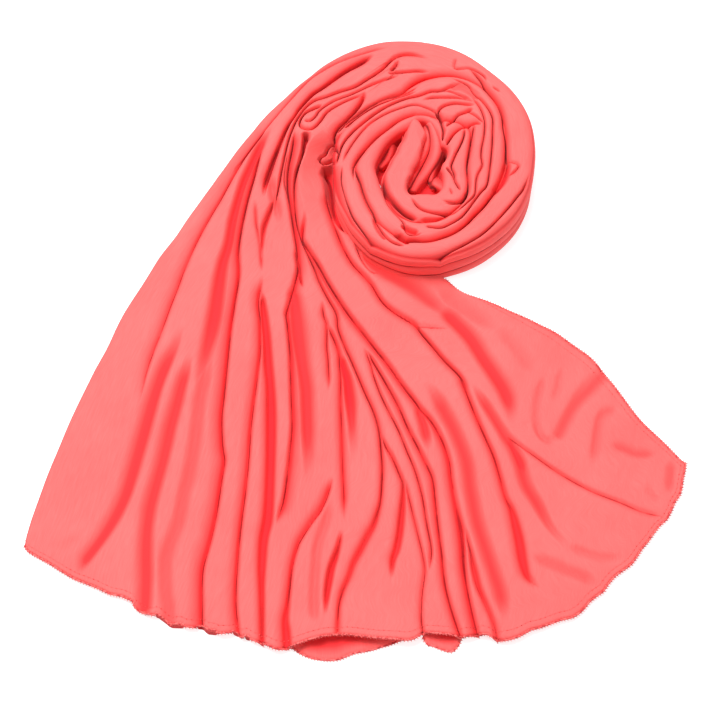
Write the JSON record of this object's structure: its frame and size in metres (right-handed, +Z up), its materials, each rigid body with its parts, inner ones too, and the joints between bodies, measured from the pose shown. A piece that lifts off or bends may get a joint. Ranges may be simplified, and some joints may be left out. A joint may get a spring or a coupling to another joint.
{
  "type": "hijab headscarf",
  "caption": "Plain jersey headscarf shawl laid down, one short end fanned out in pleats and the rest gathered into a flat coil.",
  "frame": {"origin": "on the surface it lies on, under the middle of the part's box", "axes": "+Z up, away from the surface; +X to the viewer's right; +Y from the fanned hem towards the coil"},
  "size_m": [0.549, 0.5558, 0.048],
  "materials": {
    "coral_jersey": "matte coral jersey knit with a soft sheen"
  },
  "bodies": {
    "root": {"spread_end": "coral_jersey", "gathered_neck": "coral_jersey", "outer_turn": "coral_jersey", "middle_turn": "coral_jersey", "inner_turn": "coral_jersey", "coil_heart": "coral_jersey", "centre_flap": "coral_jersey", "hem_underfold_middle": "coral_jersey", "hem_underfold_right": "coral_jersey"}
  },
  "joints": []
}
